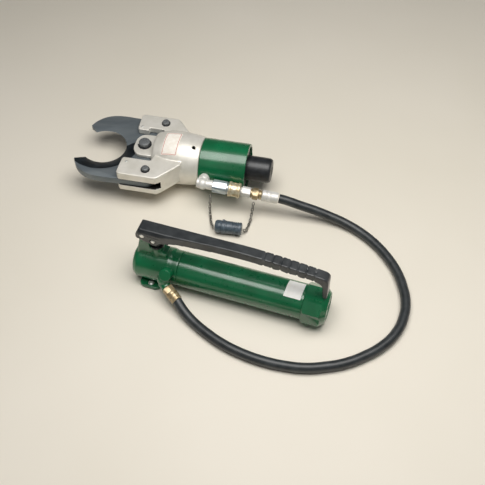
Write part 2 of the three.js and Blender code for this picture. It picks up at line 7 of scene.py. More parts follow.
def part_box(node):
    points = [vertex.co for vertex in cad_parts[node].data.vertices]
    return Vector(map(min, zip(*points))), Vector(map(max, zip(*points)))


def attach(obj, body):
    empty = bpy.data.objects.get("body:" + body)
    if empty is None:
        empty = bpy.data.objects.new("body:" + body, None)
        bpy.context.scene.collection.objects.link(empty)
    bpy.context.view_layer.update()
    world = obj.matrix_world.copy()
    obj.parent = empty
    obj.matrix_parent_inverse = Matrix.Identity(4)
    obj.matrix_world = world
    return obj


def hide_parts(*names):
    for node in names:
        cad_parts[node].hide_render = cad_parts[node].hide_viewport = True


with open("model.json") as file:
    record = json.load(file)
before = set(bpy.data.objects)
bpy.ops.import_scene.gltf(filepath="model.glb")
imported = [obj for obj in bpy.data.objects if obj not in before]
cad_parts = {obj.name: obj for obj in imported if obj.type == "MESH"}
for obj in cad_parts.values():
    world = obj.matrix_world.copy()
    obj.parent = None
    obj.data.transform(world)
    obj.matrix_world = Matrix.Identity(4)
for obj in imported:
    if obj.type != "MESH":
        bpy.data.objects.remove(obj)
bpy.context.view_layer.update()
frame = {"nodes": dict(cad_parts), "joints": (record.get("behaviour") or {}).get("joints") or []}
mm = 0.001  # pieces are modelled in millimetres and brought to metres when they are placed
joints = {joint["name"]: joint for joint in frame["joints"]}
print("frame loaded")

# camera, floor and lights
view = {"location": (0.078, -0.8618, 1.05095), "target": (0.078, -0.0407, 0.0), "lens": 57.97}
lamps = {
    "overheadPanel": {
        "location": (0.2, -0.2, 1.3), "target": (0.2, -0.2, 0.0), "size": (1.3, 0.9), "power": 20.5,
    },
    "frontPanel": {"location": (-0.3, -1.5, 1.1), "target": (0, 0, 0), "size": (1.2, 0.7), "power": 0.7},
    "sidePanel": {"location": (1.4, 0.3, 0.9), "target": (0.1, 0, 0), "size": (0.9, 0.7), "power": 0.7},
}
lampColour = (1.0, 0.985, 0.955)
skyColour = (0.80, 0.82, 0.86, 1)
skyStrength = 0.12


def aim(thing, target):
    direction = Vector(target) - thing.location
    thing.rotation_euler = direction.to_track_quat("-Z", "Y").to_euler()


bpy.ops.object.select_all(action="DESELECT")
bpy.ops.object.camera_add(location=view["location"])
camera = bpy.context.active_object
camera.name = "camera"
camera.data.lens = view["lens"]
camera.data.sensor_width = 36
aim(camera, view["target"])
bpy.context.scene.camera = camera

for lampName, lamp in lamps.items():
    bpy.ops.object.light_add(type="AREA", location=lamp["location"])
    panel = bpy.context.active_object
    panel.name = lampName
    panel.data.shape = "RECTANGLE"
    panel.data.size, panel.data.size_y = lamp["size"]
    panel.data.energy = lamp["power"]
    panel.data.color = lampColour
    aim(panel, lamp["target"])

world = bpy.data.worlds.new("studio")
world.use_nodes = True
sky = world.node_tree.nodes["Background"]
sky.inputs["Color"].default_value = skyColour
sky.inputs["Strength"].default_value = skyStrength
bpy.context.scene.world = world
bpy.context.scene.view_settings.view_transform = "Standard"

# frames of the head, the fittings on it, the pump and the dust caps
clevisLow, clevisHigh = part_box("ram_clevis")
pinLow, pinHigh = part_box("centre_pin")
headAxis = Vector(joints["ram_slide"]["axis"])
pinMiddle = (Vector(pinLow) + Vector(pinHigh)) / 2
headOrigin = Vector((pinMiddle.x, pinMiddle.y, (clevisLow[2] + clevisHigh[2]) / 2))
headTurn = math.atan2(headAxis.y, headAxis.x)
headPlace = Matrix.Translation(headOrigin) @ Matrix.Rotation(headTurn, 4, "Z")
elbowCentre = Vector((118, -57, 5))  # in the head's millimetres
fittingTilt = Matrix.Rotation(math.radians(1.1), 4, "Z") @ Matrix.Rotation(math.radians(5.15), 4, "Y")
fittingPlace = headPlace @ Matrix.Translation(elbowCentre * mm) @ fittingTilt
leverPivot = (22, 78)  # along and up, in the pump's millimetres
leverAxis = -Vector(joints["handle_pivot"]["axis"])
pumpPlace = (
    Matrix.Translation(joints["handle_pivot"]["pos_m"])
    @ Matrix.Rotation(math.atan2(-leverAxis.x, leverAxis.y), 4, "Z")
    @ Matrix.Translation((-leverPivot[0] * mm, 0, -leverPivot[1] * mm))
)
capTurn = Matrix.Rotation(math.radians(-9.5), 4, "Z")
capPlace = Matrix.Translation((0.031, -0.0137, 0.0122)) @ capTurn


# finishes: paint is a name, a colour, roughness, metallic, coat and its roughness, mottle is two colours
# and a scale, gloss two roughnesses and a scale, and grain a scale and a depth, with any stretch last
finishFacts = {
    "silver_paint": {
        "paint": ("clevisPaint", (232, 228, 218), 0.42, 0.4), "gloss": (0.38, 0.48, 160),
        "mottle": ((224, 220, 209), (238, 234, 225), 38), "grain": (900, 0.00012),
    },
    "green_enamel": {
        "paint": ("greenEnamel", (0, 98, 60), 0.3, 0.0, 0.7, 0.14), "gloss": (0.26, 0.34, 90),
        "mottle": ((0, 90, 54), (2, 105, 65), 26), "grain": (220, 0.00001),
    },
    "black_steel": {
        "paint": ("blackSatin", (34, 36, 38), 0.4, 0.1, 0.25, 0.3),
        "mottle": ((28, 30, 32), (44, 46, 49), 120), "grain": (1400, 0.00005),
    },
    "blade_steel": {
        "paint": ("groundBlade", (116, 123, 127), 0.44, 0.45), "gloss": (0.4, 0.52, 300, 0.08),
        "mottle": ((106, 114, 119), (124, 131, 134), 60, 0.25), "grain": (1500, 0.00003, 0.08),
    },
    "bevel": {
        "paint": ("bevelSteel", (36, 42, 46), 0.42, 0.5),
        "mottle": ((28, 33, 37), (48, 55, 60), 70), "grain": (1600, 0.00004),
    },
    "bright_steel": {
        "paint": ("brightSteel", (226, 226, 222), 0.32, 0.85), "gloss": (0.28, 0.36, 200),
        "mottle": ((214, 214, 210), (234, 234, 230), 90),
    },
    "fittingSteel": {
        "paint": ("fittingSteel", (196, 205, 210), 0.34, 0.8), "gloss": (0.3, 0.4, 200),
        "mottle": ((182, 192, 198), (208, 216, 220), 110),
    },
    "pin_steel": {
        "paint": ("pinSteel", (118, 121, 122), 0.5, 0.5),
        "mottle": ((104, 107, 109), (130, 133, 134), 320), "grain": (1800, 0.00004),
    },
    "brass": {
        "paint": ("brass", (170, 152, 118), 0.4, 0.6), "gloss": (0.3, 0.42, 200),
        "mottle": ((148, 128, 94), (190, 174, 142), 160),
    },
    "collarMetal": {
        "paint": ("collarMetal", (226, 212, 184), 0.36, 0.7), "gloss": (0.3, 0.42, 200),
        "mottle": ((208, 188, 150), (236, 226, 204), 160),
    },
    "chainSteel": {
        "paint": ("chainSteel", (120, 117, 110), 0.3, 0.8),
        "mottle": ((104, 102, 97), (180, 177, 170), 260),
    },
    "zincSteel": {
        "paint": ("zincSteel", (228, 226, 221), 0.42, 0.35), "gloss": (0.38, 0.46, 200),
        "mottle": ((216, 213, 207), (236, 234, 230), 90),
    },
    "rubber": {
        "paint": ("hoseRubber", (40, 44, 46), 0.42, 0.0, 0.2, 0.35),
        "mottle": ((34, 38, 40), (52, 56, 58), 70), "grain": (1300, 0.00008),
    },
    "seal_rubber": {
        "paint": ("sealRubber", (22, 22, 22), 0.7),
        "mottle": ((18, 18, 18), (30, 30, 30), 300),
    },
    "spring_steel": {
        "paint": ("springWire", (140, 144, 148), 0.35, 1.0),
        "mottle": ((120, 124, 128), (156, 160, 164), 200),
    },
    "cream_label": {
        "paint": ("creamFilm", (244, 238, 228), 0.5),
        "mottle": ((238, 230, 218), (248, 243, 234), 150),
    },
    "border": {
        "paint": ("redBorder", (190, 98, 88), 0.5),
        "mottle": ((180, 88, 78), (200, 110, 98), 400),
    },
    "white_label": {
        "paint": ("whiteFilm", (252, 250, 245), 0.45),
        "mottle": ((247, 245, 239), (254, 253, 250), 130),
    },
    "black_handle": {
        "paint": ("handlePaint", (50, 53, 55), 0.32, 0.05, 0.4, 0.22), "gloss": (0.28, 0.38, 140),
        "mottle": ((43, 46, 48), (59, 62, 64), 60), "grain": (1100, 0.00008),
    },
    "cap_steel": {
        "paint": ("capPlastic", (74, 86, 96), 0.38, 0.1, 0.25, 0.25),
        "mottle": ((62, 73, 82), (86, 98, 108), 160), "grain": (1500, 0.00006),
    },
    "floor": {
        "paint": ("floorPaper", (226, 219, 205), 0.75),
        "mottle": ((222, 215, 200), (230, 223, 210), 1.2), "grain": (700, 0.00006),
    },
}


def tone(red, green, blue):
    return (*((level / 255) ** 2.2 for level in (red, green, blue)), 1)


def newFinish(name, colour, roughness, metallic=0.0, coat=0.0, coatRoughness=0.1):
    material = bpy.data.materials.new(name)
    material.use_nodes = True
    shader = material.node_tree.nodes["Principled BSDF"]
    shader.inputs["Base Color"].default_value = tone(*colour)
    shader.inputs["Roughness"].default_value = roughness
    shader.inputs["Metallic"].default_value = metallic
    shader.inputs["Coat Weight"].default_value = coat
    shader.inputs["Coat Roughness"].default_value = coatRoughness
    return material


def noiseOn(tree, scale, detail, stretch):  # a stretch under one draws the pattern out along the head
    place = tree.nodes.new("ShaderNodeTexCoord")
    mapping = tree.nodes.new("ShaderNodeMapping")
    if stretch < 1:
        mapping.inputs["Scale"].default_value = (stretch, 1, 1)
        mapping.inputs["Rotation"].default_value = (0, 0, -headTurn)
    noise = tree.nodes.new("ShaderNodeTexNoise")
    noise.inputs["Scale"].default_value = scale
    noise.inputs["Detail"].default_value = detail
    tree.links.new(place.outputs["Object"], mapping.inputs["Vector"])
    tree.links.new(mapping.outputs["Vector"], noise.inputs["Vector"])
    return noise.outputs["Fac"]


def mottle(tree, darker, lighter, scale, stretch=1):
    ramp = tree.nodes.new("ShaderNodeValToRGB")
    for element, position, colour in zip(ramp.color_ramp.elements, (0.35, 0.65), (darker, lighter)):
        element.position = position
        element.color = tone(*colour)
    tree.links.new(noiseOn(tree, scale, 4, stretch), ramp.inputs["Fac"])
    tree.links.new(ramp.outputs["Color"], tree.nodes["Principled BSDF"].inputs["Base Color"])


def varyGloss(tree, smooth, rough, scale, stretch=1):
    spread = tree.nodes.new("ShaderNodeMapRange")
    for socket, value in (("From Min", 0.3), ("From Max", 0.7), ("To Min", smooth), ("To Max", rough)):
        spread.inputs[socket].default_value = value
    tree.links.new(noiseOn(tree, scale, 2, stretch), spread.inputs["Value"])
    tree.links.new(spread.outputs["Result"], tree.nodes["Principled BSDF"].inputs["Roughness"])


def grain(tree, scale, depth, stretch=1):
    bump = tree.nodes.new("ShaderNodeBump")
    bump.inputs["Strength"].default_value = 1.0
    bump.inputs["Distance"].default_value = depth
    tree.links.new(noiseOn(tree, scale, 3, stretch), bump.inputs["Height"])
    tree.links.new(bump.outputs["Normal"], tree.nodes["Principled BSDF"].inputs["Normal"])


# painted shade in the slots, clevis room and holes of the casting, in the head's own millimetres: lowest
# and highest corners
roomShadeColour = (46, 46, 44)
shadedRooms = [
    ((-100, -95, -0.8), (48.7, 0, 14.0)),
    ((-100, 0, -14.0), (48.7, 95, 0.8)),
    ((20.6, -27.4, -21.6), (62, 27.4, 21.6)),
    ((20.6, -14.4, 15), (46, 14.4, 29.8)),
    ((89.2, -15.4, 30), (96.8, -8.6, 42)),
]


def mathNode(tree, operation, first, second):
    node = tree.nodes.new("ShaderNodeMath")
    node.operation = operation
    tree.links.new(first, node.inputs[0])
    tree.links.new(second, node.inputs[1])
    return node.outputs["Value"]


def paintRoomShade(tree):  # painted shade: turns the paint dark where the surface lies inside one of the rooms
    place = tree.nodes.new("ShaderNodeTexCoord")
    reaches = []  # each is under one inside its room
    for low, high in shadedRooms:
        low, high = Vector(low) * mm, Vector(high) * mm
        local = tree.nodes.new("ShaderNodeMapping")
        local.vector_type = "TEXTURE"
        local.inputs["Location"].default_value = headPlace @ ((low + high) / 2)
        local.inputs["Rotation"].default_value = (0, 0, headTurn)
        local.inputs["Scale"].default_value = (high - low) / 2
        size = tree.nodes.new("ShaderNodeVectorMath")
        size.operation = "ABSOLUTE"
        split = tree.nodes.new("ShaderNodeSeparateXYZ")
        tree.links.new(place.outputs["Object"], local.inputs["Vector"])
        tree.links.new(local.outputs["Vector"], size.inputs[0])
        tree.links.new(size.outputs["Vector"], split.inputs["Vector"])
        reach = mathNode(tree, "MAXIMUM", split.outputs["X"], split.outputs["Y"])
        reaches.append(mathNode(tree, "MAXIMUM", reach, split.outputs["Z"]))
    nearest = reaches[0]
    for reach in reaches[1:]:
        nearest = mathNode(tree, "MINIMUM", nearest, reach)
    inside = tree.nodes.new("ShaderNodeMath")
    inside.operation = "LESS_THAN"
    inside.inputs[1].default_value = 1.0
    blend = tree.nodes.new("ShaderNodeMix")
    blend.data_type = "RGBA"
    # the painted shade colour, mixed in inside the rooms
    blend.inputs["B"].default_value = tone(*roomShadeColour)
    shader = tree.nodes["Principled BSDF"]
    tree.links.new(nearest, inside.inputs[0])
    tree.links.new(inside.outputs["Value"], blend.inputs["Factor"])
    tree.links.new(shader.inputs["Base Color"].links[0].from_socket, blend.inputs["A"])
    tree.links.new(blend.outputs["Result"], shader.inputs["Base Color"])


def makeFinishes():
    made = {}
    for key, facts in finishFacts.items():
        made[key] = newFinish(*facts["paint"])
        tree = made[key].node_tree
        mottle(tree, *facts["mottle"])
        if "gloss" in facts:
            varyGloss(tree, *facts["gloss"])
        if "grain" in facts:
            grain(tree, *facts["grain"])
    made["castHead"] = made["silver_paint"].copy()
    made["castHead"].name = "castPaint"
    # the casting's paint gets painted shade in its slots and hollows
    paintRoomShade(made["castHead"].node_tree)
    return made


finishes = makeFinishes()
bpy.ops.mesh.primitive_plane_add(size=7, location=(0, 0, -0.0004))
floor = bpy.context.active_object
floor.name = "floor"
floor.data.materials.append(finishes["floor"])
print("camera, lights and finishes made")


# modelling helpers
def deselect():
    bpy.ops.object.select_all(action="DESELECT")


def enter(mode):
    bpy.ops.object.mode_set(mode=mode)


def activate(piece):
    deselect()
    piece.select_set(True)
    bpy.context.view_layer.objects.active = piece


def named(name):
    piece = bpy.context.active_object
    piece.name = name
    piece.data.name = name
    return piece


def placed(name):
    bpy.ops.object.transform_apply(location=True, rotation=True, scale=True)
    return named(name)


def applied(piece, kind, **settings):
    activate(piece)
    modifier = piece.modifiers.new("step", kind)
    for setting, value in settings.items():
        setattr(modifier, setting, value)
    bpy.ops.object.modifier_apply(modifier=modifier.name)
    return piece


def combine(piece, operation, *tools):
    for tool in tools:
        applied(piece, "BOOLEAN", operation=operation, solver="EXACT", object=tool)
        bpy.data.objects.remove(tool, do_unlink=True)
    return piece


def cut(piece, *tools):
    return combine(piece, "DIFFERENCE", *tools)


def unite(piece, *tools):
    return combine(piece, "UNION", *tools)


def keepInside(piece, *tools):
    return combine(piece, "INTERSECT", *tools)


def plate(name, points, low, high, upright=False):  # an outline extruded up, or across when it stands
    deselect()
    bpy.ops.mesh.primitive_circle_add(vertices=len(points), radius=1, fill_type="NGON")
    piece = named(name)
    for corner, (along, across) in zip(piece.data.vertices, points):
        corner.co = (along, low, across) if upright else (along, across, low)
    enter("EDIT")
    bpy.ops.mesh.select_all(action="SELECT")
    step = (0, high - low, 0) if upright else (0, 0, high - low)
    bpy.ops.mesh.extrude_region_move(TRANSFORM_OT_translate={"value": step})
    bpy.ops.mesh.select_all(action="SELECT")
    bpy.ops.mesh.normals_make_consistent(inside=False)
    enter("OBJECT")
    return piece


axes = {
    "X": (Vector((1, 0, 0)), Vector((0, 0, 1))),
    "Y": (Vector((0, 1, 0)), Vector((0, 0, 1))),
    "Z": (Vector((0, 0, 1)), Vector((1, 0, 0))),
}


def turned(name, profile, axis="X", centre=(0, 0, 0), steps=96):  # a profile of (along, radius) spun round
    along, outward = axes[axis]
    deselect()
    bpy.ops.mesh.primitive_circle_add(vertices=len(profile), radius=1)
    piece = named(name)
    for point, (distance, radius) in zip(piece.data.vertices, profile):
        point.co = along * distance + outward * radius + Vector(centre)
    closed = profile[0][1] > 0
    enter("EDIT")
    if not closed:
        bpy.ops.mesh.select_all(action="DESELECT")
        enter("OBJECT")
        ends = {0, len(profile) - 1}
        for edge in piece.data.edges:
            edge.select = set(edge.vertices) == ends
        enter("EDIT")
        bpy.ops.mesh.select_mode(type="EDGE")
        bpy.ops.mesh.delete(type="EDGE_FACE")
        bpy.ops.mesh.select_mode(type="VERT")
    bpy.ops.mesh.select_all(action="SELECT")
    bpy.ops.mesh.spin(steps=steps, angle=math.tau, center=centre, axis=along)
    bpy.ops.mesh.select_all(action="SELECT")
    bpy.ops.mesh.remove_doubles(threshold=0.001)
    bpy.ops.mesh.normals_make_consistent(inside=False)
    enter("OBJECT")
    return piece


def rod(name, start, end, radius, sides=64, endRadius=None):
    start, end = Vector(start), Vector(end)
    deselect()
    bpy.ops.mesh.primitive_cone_add(
        vertices=sides,
        radius1=radius,
        radius2=radius if endRadius is None else endRadius,
        depth=(end - start).length,
        location=(start + end) / 2,
        rotation=(end - start).to_track_quat("Z", "Y").to_euler(),
    )
    return placed(name)


def ball(name, centre, radius):
    deselect()
    bpy.ops.mesh.primitive_uv_sphere_add(segments=48, ring_count=24, radius=radius, location=centre)
    return placed(name)


def block(name, low, high):
    low, high = Vector(low), Vector(high)
    deselect()
    bpy.ops.mesh.primitive_cube_add(size=1, location=(low + high) / 2, scale=high - low)
    return placed(name)


def hexBar(name, start, end, acrossFlats, chamfer=1.0):  # along X
    corner = acrossFlats / 2 / math.cos(math.pi / 6)
    piece = rod(name, (start, 0, 0), (end, 0, 0), corner, 6)
    limit = [(start, 0), (start, corner - chamfer), (start + chamfer, corner)]
    limit += [(end - chamfer, corner), (end, corner - chamfer), (end, 0)]
    return keepInside(piece, turned("limit", limit))


def trimRound(piece, start, end, radius):
    return keepInside(piece, turned("limit", [(start, 0), (start, radius), (end, radius), (end, 0)]))


def roundEdges(piece, width, segments=2, angle=30):
    limit = math.radians(angle)
    applied(piece, "BEVEL", width=width, segments=segments, limit_method="ANGLE", angle_limit=limit)
    return shadeByAngle(piece, angle)


def shadeByAngle(piece, angle=30):
    activate(piece)
    bpy.ops.object.shade_smooth_by_angle(angle=math.radians(angle))
    return piece


def castSurface(piece, voxel, rounds):  # soft edges of a casting
    applied(piece, "REMESH", mode="VOXEL", voxel_size=voxel)
    applied(piece, "SMOOTH", factor=0.5, iterations=rounds)
    activate(piece)
    bpy.ops.object.shade_smooth()
    return piece


def settle(piece, place, slotName, node, body="base", finish=None):
    piece.data.transform(place @ Matrix.Scale(mm, 4))
    if not piece.data.materials:
        piece.data.materials.append(finishes[finish or slotName])
    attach(piece, body)
    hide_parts(node)
    return piece


def spun(name, profile, place, slotName, node, body="base", finish=None, shade=28, **turning):
    piece = shadeByAngle(turned(name, profile, **turning), shade)
    return settle(piece, place, slotName, node, body, finish)


def arc(centreX, centreY, radius, start, end, steps):
    turns = [math.radians(start + (end - start) * i / steps) for i in range(steps + 1)]
    return [(centreX + radius * math.cos(turn), centreY + radius * math.sin(turn)) for turn in turns]


def sweep(start, pullA, pullB, end, steps):  # a Bezier stretch without its first point
    corners = [Vector(point) for point in (start, pullA, pullB, end)]
    stretch = []
    for i in range(1, steps + 1):
        t = i / steps
        parts = ((1 - t) ** 3, 3 * t * (1 - t) ** 2, 3 * t * t * (1 - t), t**3)
        point = sum((part * corner for part, corner in zip(parts, corners)), Vector((0, 0)))
        stretch.append(tuple(point))
    return stretch


def slotOutline(origin, toward, start, end, radius, steps):  # round-ended, on the line toward a point
    turn = math.atan2(toward[1] - origin[1], toward[0] - origin[0])
    points = arc(start, 0, radius, 90, 270, steps) + arc(end, 0, radius, -90, 90, steps)
    return [
        (
            origin[0] + a * math.cos(turn) - b * math.sin(turn),
            origin[1] + a * math.sin(turn) + b * math.cos(turn),
        )
        for a, b in points
    ]


# hose and chains, with their routes in metres
hoseFacts = {"radius": 0.008, "length": 0.785}
hoseRoute = [
    (0.1406, 0.0241, 0.040), (0.153, 0.0213, 0.038), (0.177, 0.0163, 0.031), (0.203, 0.0108, 0.024),
    (0.229, 0.0033, 0.017), (0.255, -0.0077, 0.0115), (0.279, -0.0247, 0.0088), (0.302, -0.0497, 0.0082),
    (0.320, -0.0787, 0.0082), (0.332, -0.1077, 0.0082), (0.338, -0.1377, 0.0082), (0.339, -0.1667, 0.0082),
    (0.332, -0.1967, 0.0082), (0.317, -0.2247, 0.0082), (0.293, -0.2487, 0.0082), (0.263, -0.2667, 0.0082),
    (0.233, -0.2787, 0.0082), (0.202, -0.2847, 0.0082), (0.172, -0.2867, 0.0082), (0.140, -0.2827, 0.0082),
    (0.109, -0.2747, 0.0082), (0.079, -0.2627, 0.0082), (0.050, -0.2467, 0.0082), (0.023, -0.2262, 0.0082),
    (-0.001, -0.2037, 0.0095), (-0.015, -0.1882, 0.014), (-0.0255, -0.1737, 0.020),
]
chainFacts = {"diameter": 0.0052, "pitch": 5.4, "linkLength": 8.6, "linkWidth": 5.8, "wire": 1.6}
leftChainRoute = [
    (0.023, 0.0343, 0.037), (0.022, 0.0293, 0.028), (0.021, 0.0263, 0.016), (0.021, 0.0223, 0.0066),
    (0.022, 0.0153, 0.003), (0.023, 0.0053, 0.003), (0.025, -0.0057, 0.004), (0.0274, -0.0117, 0.0085),
]
rightChainRoute = [
    (0.097, 0.0203, 0.033), (0.095, 0.0143, 0.022), (0.093, 0.0093, 0.010), (0.091, 0.0033, 0.0036),
    (0.089, -0.0037, 0.003), (0.086, -0.0117, 0.003), (0.084, -0.0187, 0.0044), (0.0796, -0.0217, 0.010),
]


def smoothRoute(points, perStretch=12):
    points = [Vector(point) for point in points]
    padded = [2 * points[0] - points[1], *points, 2 * points[-1] - points[-2]]
    route = []
    for i in range(1, len(padded) - 2):
        before, a, b, after = padded[i - 1 : i + 3]
        for j in range(perStretch):
            t = j / perStretch
            bend = 2 * before - 5 * a + 4 * b - after
            twist = 3 * a - before - 3 * b + after
            route.append((2 * a + (b - before) * t + bend * t * t + twist * t**3) / 2)
    return [*route, points[-1]]


def makeHose():
    deselect()
    bpy.ops.curve.primitive_bezier_curve_add()
    piece = named("rubberHose")
    spline = piece.data.splines[0]
    spline.bezier_points.add(len(hoseRoute) - 2)
    for knot, place in zip(spline.bezier_points, hoseRoute):
        knot.co = place
        knot.handle_left_type = "AUTO"
        knot.handle_right_type = "AUTO"
    spline.resolution_u = 10
    piece.data.bevel_depth = hoseFacts["radius"]
    piece.data.bevel_resolution = 8
    piece.data.use_fill_caps = True
    piece.data.materials.append(finishes["rubber"])
    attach(piece, "base")
    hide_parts("hose")
    return piece


def makeLink():
    facts = chainFacts
    bend = (facts["linkWidth"] - facts["wire"]) / 2
    deselect()
    bpy.ops.mesh.primitive_torus_add(
        major_radius=bend, minor_radius=facts["wire"] / 2, major_segments=16, minor_segments=8
    )
    link = named("link")
    stretch = (facts["linkLength"] - facts["linkWidth"]) / 2
    for point in link.data.vertices:
        point.co.x += stretch if point.co.x > 0 else -stretch
    return link


def makeChain(name, points, node):
    route = smoothRoute(points)
    link = makeLink()
    lengths = [0.0]
    for a, b in zip(route, route[1:]):
        lengths.append(lengths[-1] + (b - a).length)
    pitch = chainFacts["pitch"] * mm
    count = int(lengths[-1] / pitch)
    copies = []
    for i in range(count + 1):
        distance = min(lengths[-1] - 0.0005, (i + 0.5) * lengths[-1] / (count + 1))
        at = max(k for k in range(len(lengths)) if lengths[k] <= distance)
        direction = (route[at + 1] - route[at]).normalized()
        centre = route[at] + direction * (distance - lengths[at])
        copy = link.copy()
        copy.data = link.data.copy()
        bpy.context.collection.objects.link(copy)
        turn = direction.to_track_quat("X", "Z").to_matrix().to_4x4()
        roll = Matrix.Rotation(math.radians(45 if i % 2 else -45), 4, "X")
        copy.data.transform(Matrix.Translation(centre) @ turn @ roll @ Matrix.Scale(mm, 4))
        copies.append(copy)
    bpy.data.objects.remove(link, do_unlink=True)
    deselect()
    for copy in copies:
        copy.select_set(True)
    bpy.context.view_layer.objects.active = copies[0]
    bpy.ops.object.join()
    piece = named(name)
    bpy.ops.object.shade_smooth()
    piece.data.materials.append(finishes["chainSteel"])
    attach(piece, "base")
    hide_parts(node)
    return piece


makeHose()
print("hose laid")


# cutting head: the aluminium casting
casting = {
    "barrel": [
        (20, 0), (20, 37.5), (22.5, 39.5), (34, 43), (48, 46), (60, 47), (72, 46.9), (90, 45),
        (103.6, 42.6), (105, 41.8), (105, 0),
    ],
    "earFront": -27,
    "earInner": 44,
    "earOuter": 83.5,
    "earBack": 44,
    "earRear": 76,
    "earShort": 12,
    "earTall": 29,
    "slotEnd": 48,
    "slotDepth": 13.6,
    "cavity": (61, 27.0, 21.2),
    "bolt": (20.5, 67),
    "boltHole": 6.65,
    "tunnelTop": 28.9,
    "tunnelFoot": -23.9,
    "voxel": 1.05,
    "rounds": 6,
}


def makeCasting():
    front, inner, outer = casting["earFront"], casting["earInner"], casting["earOuter"]
    back, rear = casting["earBack"], casting["earRear"]
    short, tall = casting["earShort"], casting["earTall"]
    boltX, boltY = casting["bolt"]
    earPlan = [
        (front + 2.5, inner), (front, inner + 4), (front - 1, outer - 4), (front + 3, outer),
        (back - 4, outer), (back + 2, outer - 4), (rear, inner), (rear, 20), (30, 20), (23, inner),
    ]
    piece = turned("castHead", casting["barrel"])
    unite(
        piece,
        plate("nearEar", [(x, -y) for x, y in earPlan], -short, tall),
        plate("farEar", earPlan, -tall, short),
    )
    roomEnd, roomY, roomZ = casting["cavity"]
    depth, slotEnd = casting["slotDepth"], casting["slotEnd"]
    cut(
        piece,
        block("nearSlot", (-100, -90, -0.4), (slotEnd, 0, depth)),
        block("farSlot", (-100, 0, -depth), (slotEnd, 90, 0.4)),
        block("clevisRoom", (0, -roomY, -roomZ), (roomEnd, roomY, roomZ)),
        block("pinTunnel", (10, -13.8, 15), (45, 13.8, casting["tunnelTop"])),
        block("pinTail", (10, -10.9, casting["tunnelFoot"]), (42, 10.9, -15)),
        block("farNotch", (-6, inner - 1, -1), (22, inner + 7, short + 2)),
        block("nearNotch", (-6, -inner - 7, -short - 2), (22, 1 - inner, 1)),
    )
    castSurface(piece, casting["voxel"], casting["rounds"])
    cut(
        piece,
        rod("nearHole", (boltX, -boltY, -60), (boltX, -boltY, 60), casting["boltHole"]),
        rod("farHole", (boltX, boltY, -60), (boltX, boltY, 60), casting["boltHole"]),
        rod("eyeHole", (93, -12, 32), (93, -12, 60), 3.4),
        rod("rodHole", (60, 0, 0), (110, 0, 0), 20.3),
    )
    shadeByAngle(piece, 40)
    return settle(piece, headPlace, "silver_paint", "yoke_casting", finish="castHead")


# the two hook blades, the same forging with one turned over
blade = {
    "thickness": 13,
    "gap": 0.3,
    "throat": (-80, 0, 39.5),
    "bevelCentre": (-77, 0),
    "bevelRadius": 67,
    "boltHole": 6.5,
    "pinSlot": 10.4,
    "slotTravel": 4.2,
    "edge": 0.45,
}


def bladeOutline():
    x, y = casting["bolt"]
    points = [(-117, 47.5)]
    points += arc(*blade["throat"], 124.5, -12, 64)
    points += [(-28, -12.5)]
    points += arc(0, 0, 14.5, -114, 0, 28)
    points += [(15.6, 24.5), (30, 50)]
    points += arc(x, y, 13.5, -40, 90, 30)
    points += [(-20, 81.5)]
    points += sweep((-20, 81.5), (-46, 83.3), (-66, 84.6), (-82, 80.6), 16)
    points += sweep((-82, 80.6), (-98, 76), (-110, 65.5), (-117, 47.5), 16)[:-1]
    return points


def makeBlade(name, node, over):
    high = -blade["gap"] / 2
    low = high - blade["thickness"]
    piece = plate(name, bladeOutline(), low, high)
    x, y = casting["bolt"]
    centreX, centreY = blade["bevelCentre"]
    wide, narrow = blade["bevelRadius"] + 1.8, blade["throat"][2] + 0.01
    cone = rod("cone", (centreX, centreY, low - 1), (centreX, centreY, high), wide, 160, narrow)
    cut(cone, block("keep", (-10, -90, -30), (60, 90, 5)))
    slotEnd = blade["slotTravel"] - 0.5
    slotPoints = slotOutline((0, 0), (x, y), -0.5, slotEnd, blade["pinSlot"], 20)
    boltHole = rod("boltHole", (x, y, -30), (x, y, 30), blade["boltHole"])
    cut(piece, cone, boltHole, plate("pinSlot", slotPoints, -30, 30))
    roundEdges(piece, blade["edge"], 2, 35)
    piece.data.materials.append(finishes["blade_steel"])
    piece.data.materials.append(finishes["bevel"])
    for face in piece.data.polygons:
        reach = math.hypot(face.center.x - centreX, face.center.y - centreY)
        sloping = -0.93 < face.normal.z < -0.2
        if sloping and face.center.x < -10 and reach < blade["bevelRadius"] + 2 and face.area > 0.6:
            face.material_index = 1
    if over:
        piece.data.transform(Matrix.Rotation(math.pi, 4, "X"))
    return settle(piece, headPlace, "blade_steel", node, body=node)


# the clevis and the pins
clevis = {"front": -18, "rear": 30, "halfY": 25.5, "halfZ": 20, "slot": 13.6, "edge": 1.3}
pins = {"centreRadius": 10, "centreProud": 8, "boltRadius": 6.3, "boltProud": 6}


def makeClevis():
    front, rear, halfY, halfZ = (clevis[key] for key in ("front", "rear", "halfY", "halfZ"))
    points = [(rear, -halfY), (-1, -halfY)]
    points += sweep((-1, -halfY), (-11, -halfY), (front, -16), (front, -5), 14)
    points += [(front, 5)]
    points += sweep((front, 5), (front, 16), (-11, halfY), (-1, halfY), 14)
    points += [(rear, halfY)]
    piece = plate("castClevis", points, -halfZ, halfZ)
    cut(
        piece,
        block("slot", (front - 1, -40, -clevis["slot"]), (16.5, 40, clevis["slot"])),
        rod("pinHole", (0, 0, -40), (0, 0, 40), 10.15),
        rod("rodHole", (10, 0, 0), (rear + 1, 0, 0), 10.3),
    )
    roundEdges(piece, clevis["edge"], 4, 40)
    return settle(piece, headPlace, "silver_paint", "ram_clevis", body="ram")


def makePin(name, node, body, centre, low, high, radius):
    profile = [
        (low, 0), (low, radius - 1.2), (low + 1.2, radius), (high - 1.3, radius),
        (high - 0.4, radius - 0.6), (high, radius - 1.5), (high, 1.6), (high - 0.6, 1.2), (high - 0.9, 0),
    ]
    turning = {"axis": "Z", "centre": (*centre, 0), "steps": 64}
    return spun(name, profile, headPlace, "pin_steel", node, body, shade=30, **turning)


clip = {"opening": 24, "thick": 1.6, "edge": 0.3}


